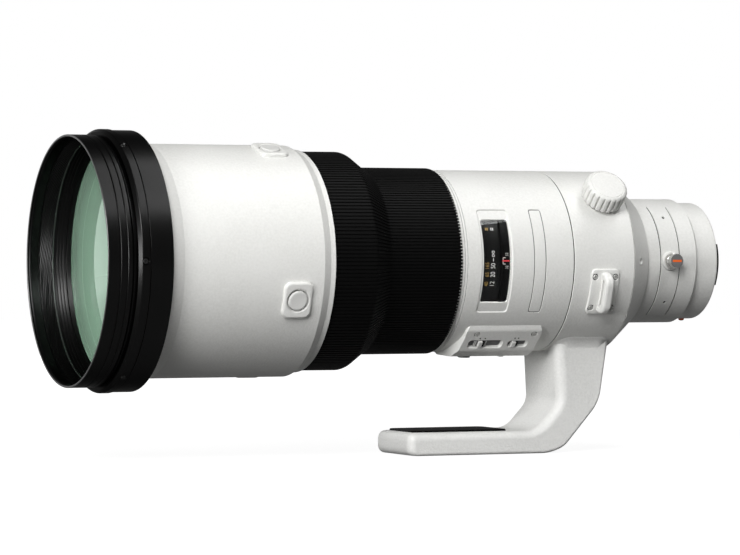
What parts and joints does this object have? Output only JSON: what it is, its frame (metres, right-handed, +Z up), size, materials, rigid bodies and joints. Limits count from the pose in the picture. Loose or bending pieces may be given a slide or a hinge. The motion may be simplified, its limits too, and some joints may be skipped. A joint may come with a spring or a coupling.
{
  "type": "telephoto lens",
  "caption": "Long white telephoto lens with a wide front, ribbed focus ring, rotating tripod collar with a long foot, and a bayonet mount.",
  "frame": {"origin": "centre of the bayonet's flange plane, on the optical axis", "axes": "+X back along the optical axis towards the camera, +Z up away from the tripod foot"},
  "size_m": [0.3773, 0.14, 0.176],
  "materials": {
    "white_paint": "fine grained warm white paint",
    "black_satin": "satin black",
    "black_rubber": "matt ribbed rubber",
    "white_plastic": "satin",
    "grey_plastic": "satin",
    "black_plastic": "matt",
    "coated_glass": "green-grey anti-reflection coating",
    "clear_glass": "clear",
    "screw_steel": "nickel plated",
    "black_screw": "blackened",
    "mount_metal": "satin plated",
    "aluminium": "turned",
    "motor_metal": "machined",
    "thin_black_steel": "blackened",
    "orange_plastic": "bright orange"
  },
  "bodies": {
    "collar": {"tripod_collar": "white_paint", "tripod_foot": "white_paint", "foot_pad": "black_rubber", "strap_lugs": "white_paint", "strap_lug_screws": "screw_steel"},
    "clamp": {"clamp_shoe": "aluminium"},
    "lock_knob": {"lock_knob": "white_paint", "clamp_screw": "screw_steel"},
    "barrel": {"front_rim_ring": "black_satin", "hood_band": "black_satin", "hood_band_screws": "black_screw", "front_barrel": "white_paint", "button_pads": "white_paint", "front_retaining_ring": "black_satin", "front_cell": "black_satin", "front_element": "coated_glass", "second_element": "coated_glass", "inner_tube": "black_satin", "motor_stator": "motor_metal", "rear_barrel": "white_paint", "scale_window": "clear_glass", "index_plate": "black_satin", "control_panel": "white_paint", "panel_screws": "screw_steel", "iris_base": "thin_black_steel", "rear_lens_cell": "black_satin", "rear_lenses": "coated_glass", "rear_housing": "white_paint", "rear_ring": "white_paint", "index_dot": "orange_plastic", "bayonet": "mount_metal", "bayonet_screws": "screw_steel", "contact_block": "black_plastic"},
    "focus_ring": {"focus_ring": "black_satin", "focus_grip": "black_rubber"},
    "motor_rotor": {"motor_rotor": "motor_metal"},
    "distance_scale": {"distance_scale": "black_satin"},
    "focus_cell": {"focus_cell": "aluminium", "focus_lens": "coated_glass"},
    "iris_ring": {"iris_ring": "thin_black_steel"},
    "filter_drawer": {"filter_drawer": "white_paint", "filter_glass": "clear_glass"},
    "filter_knob": {"filter_knob": "mount_metal"},
    "focus_mode_switch": {"focus_mode_switch": "white_plastic"},
    "override_switch": {"override_switch": "white_plastic"},
    "limiter_switch": {"limiter_switch": "white_plastic"},
    "preset_button": {"preset_button": "grey_plastic"},
    "hold_button_1": {"hold_button_1": "white_plastic"},
    "hold_button_2": {"hold_button_2": "white_plastic"},
    "hold_button_3": {"hold_button_3": "white_plastic"},
    "hold_button_4": {"hold_button_4": "white_plastic"},
    "iris_blade_1": {"iris_blade_1": "thin_black_steel"},
    "iris_blade_2": {"iris_blade_2": "thin_black_steel"},
    "iris_blade_3": {"iris_blade_3": "thin_black_steel"},
    "iris_blade_4": {"iris_blade_4": "thin_black_steel"},
    "iris_blade_5": {"iris_blade_5": "thin_black_steel"},
    "iris_blade_6": {"iris_blade_6": "thin_black_steel"},
    "iris_blade_7": {"iris_blade_7": "thin_black_steel"},
    "iris_blade_8": {"iris_blade_8": "thin_black_steel"},
    "iris_blade_9": {"iris_blade_9": "thin_black_steel"}
  },
  "joints": [
    {"name": "collar_turn", "type": "hinge", "parent": "collar", "child": "barrel", "pos_m": [-0.08, 0, 0], "axis": [1, 0, 0], "continuous": true},
    {"name": "clamp_lift", "type": "slide", "parent": "collar", "child": "clamp", "axis": [0, -0.7314, 0.682], "range_m": [0, 0.0009375]},
    {"name": "lock_knob_turn", "type": "hinge", "parent": "clamp", "child": "lock_knob", "pos_m": [-0.0754, -0.03657, 0.0341], "axis": [0, -0.7314, 0.682], "range_deg": [0, 270]},
    {"name": "focus_turn", "type": "hinge", "parent": "barrel", "child": "focus_ring", "pos_m": [-0.2, 0, 0], "axis": [1, 0, 0], "range_deg": [-10, 140]},
    {"name": "motor_turn", "type": "hinge", "parent": "barrel", "child": "motor_rotor", "pos_m": [-0.2255, 0, 0], "axis": [1, 0, 0], "range_deg": [-10, 140]},
    {"name": "scale_turn", "type": "hinge", "parent": "barrel", "child": "distance_scale", "pos_m": [-0.1446, 0, 0], "axis": [1, 0, 0], "range_deg": [-5, 70]},
    {"name": "focus_cell_slide", "type": "slide", "parent": "barrel", "child": "focus_cell", "axis": [-1, 0, 0], "range_m": [-0.0009, 0.0123]},
    {"name": "iris_turn", "type": "hinge", "parent": "barrel", "child": "iris_ring", "pos_m": [-0.113, 0, 0], "axis": [-1, 0, 0], "range_deg": [0, 28]},
    {"name": "iris_blade_1_turn", "type": "hinge", "parent": "barrel", "child": "iris_blade_1", "pos_m": [-0.116, -0.027, 0], "axis": [1, 0, 0], "range_deg": [0, 24.1]},
    {"name": "iris_blade_2_turn", "type": "hinge", "parent": "barrel", "child": "iris_blade_2", "pos_m": [-0.116, -0.02068, 0.01736], "axis": [1, 0, 0], "range_deg": [0, 24.1]},
    {"name": "iris_blade_3_turn", "type": "hinge", "parent": "barrel", "child": "iris_blade_3", "pos_m": [-0.116, -0.00469, 0.02659], "axis": [1, 0, 0], "range_deg": [0, 24.1]},
    {"name": "iris_blade_4_turn", "type": "hinge", "parent": "barrel", "child": "iris_blade_4", "pos_m": [-0.116, 0.0135, 0.02338], "axis": [1, 0, 0], "range_deg": [0, 24.1]},
    {"name": "iris_blade_5_turn", "type": "hinge", "parent": "barrel", "child": "iris_blade_5", "pos_m": [-0.116, 0.02537, 0.00923], "axis": [1, 0, 0], "range_deg": [0, 24.1]},
    {"name": "iris_blade_6_turn", "type": "hinge", "parent": "barrel", "child": "iris_blade_6", "pos_m": [-0.116, 0.02537, -0.00923], "axis": [1, 0, 0], "range_deg": [0, 24.1]},
    {"name": "iris_blade_7_turn", "type": "hinge", "parent": "barrel", "child": "iris_blade_7", "pos_m": [-0.116, 0.0135, -0.02338], "axis": [1, 0, 0], "range_deg": [0, 24.1]},
    {"name": "iris_blade_8_turn", "type": "hinge", "parent": "barrel", "child": "iris_blade_8", "pos_m": [-0.116, -0.00469, -0.02659], "axis": [1, 0, 0], "range_deg": [0, 24.1]},
    {"name": "iris_blade_9_turn", "type": "hinge", "parent": "barrel", "child": "iris_blade_9", "pos_m": [-0.116, -0.02068, -0.01736], "axis": [1, 0, 0], "range_deg": [0, 24.1]},
    {"name": "hold_button_1_press", "type": "slide", "parent": "barrel", "child": "hold_button_1", "axis": [0, 0.9455, 0.3256], "range_m": [0, 0.0008], "stiffness_N_per_m": 400},
    {"name": "hold_button_2_press", "type": "slide", "parent": "barrel", "child": "hold_button_2", "axis": [0, 0.3256, -0.9455], "range_m": [0, 0.0008], "stiffness_N_per_m": 400},
    {"name": "hold_button_3_press", "type": "slide", "parent": "barrel", "child": "hold_button_3", "axis": [0, -0.9455, -0.3256], "range_m": [0, 0.0008], "stiffness_N_per_m": 400},
    {"name": "hold_button_4_press", "type": "slide", "parent": "barrel", "child": "hold_button_4", "axis": [0, -0.3256, 0.9455], "range_m": [0, 0.0008], "stiffness_N_per_m": 400},
    {"name": "focus_mode_switch_slide", "type": "slide", "parent": "barrel", "child": "focus_mode_switch", "axis": [1, 0, 0], "range_m": [0, 0.006]},
    {"name": "override_switch_slide", "type": "slide", "parent": "barrel", "child": "override_switch", "axis": [1, 0, 0], "range_m": [0, 0.0045]},
    {"name": "limiter_switch_slide", "type": "slide", "parent": "barrel", "child": "limiter_switch", "axis": [1, 0, 0], "range_m": [0, 0.006]},
    {"name": "preset_button_press", "type": "slide", "parent": "barrel", "child": "preset_button", "axis": [0, -0.0562, 0.9984], "range_m": [0, 0.0006], "stiffness_N_per_m": 300},
    {"name": "filter_drawer_slide", "type": "slide", "parent": "barrel", "child": "filter_drawer", "axis": [0, -1, 0], "range_m": [0, 0.062]},
    {"name": "filter_knob_turn", "type": "hinge", "parent": "filter_drawer", "child": "filter_knob", "pos_m": [-0.0312, -0.037, 0], "axis": [0, -1, 0], "range_deg": [0, 90]}
  ],
  "couplings": [
    {"joint": "lock_knob_turn", "follows": "clamp_lift", "rad_per_m": 5026.5},
    {"joint": "motor_turn", "follows": "focus_turn", "ratio": 1},
    {"joint": "scale_turn", "follows": "focus_turn", "ratio": 0.5},
    {"joint": "focus_cell_slide", "follows": "focus_turn", "m_per_rad": 0.005},
    {"joint": "iris_blade_1_turn", "follows": "iris_turn", "ratio": 0.85714},
    {"joint": "iris_blade_2_turn", "follows": "iris_turn", "ratio": 0.85714},
    {"joint": "iris_blade_3_turn", "follows": "iris_turn", "ratio": 0.85714},
    {"joint": "iris_blade_4_turn", "follows": "iris_turn", "ratio": 0.85714},
    {"joint": "iris_blade_5_turn", "follows": "iris_turn", "ratio": 0.85714},
    {"joint": "iris_blade_6_turn", "follows": "iris_turn", "ratio": 0.85714},
    {"joint": "iris_blade_7_turn", "follows": "iris_turn", "ratio": 0.85714},
    {"joint": "iris_blade_8_turn", "follows": "iris_turn", "ratio": 0.85714},
    {"joint": "iris_blade_9_turn", "follows": "iris_turn", "ratio": 0.85714}
  ]
}
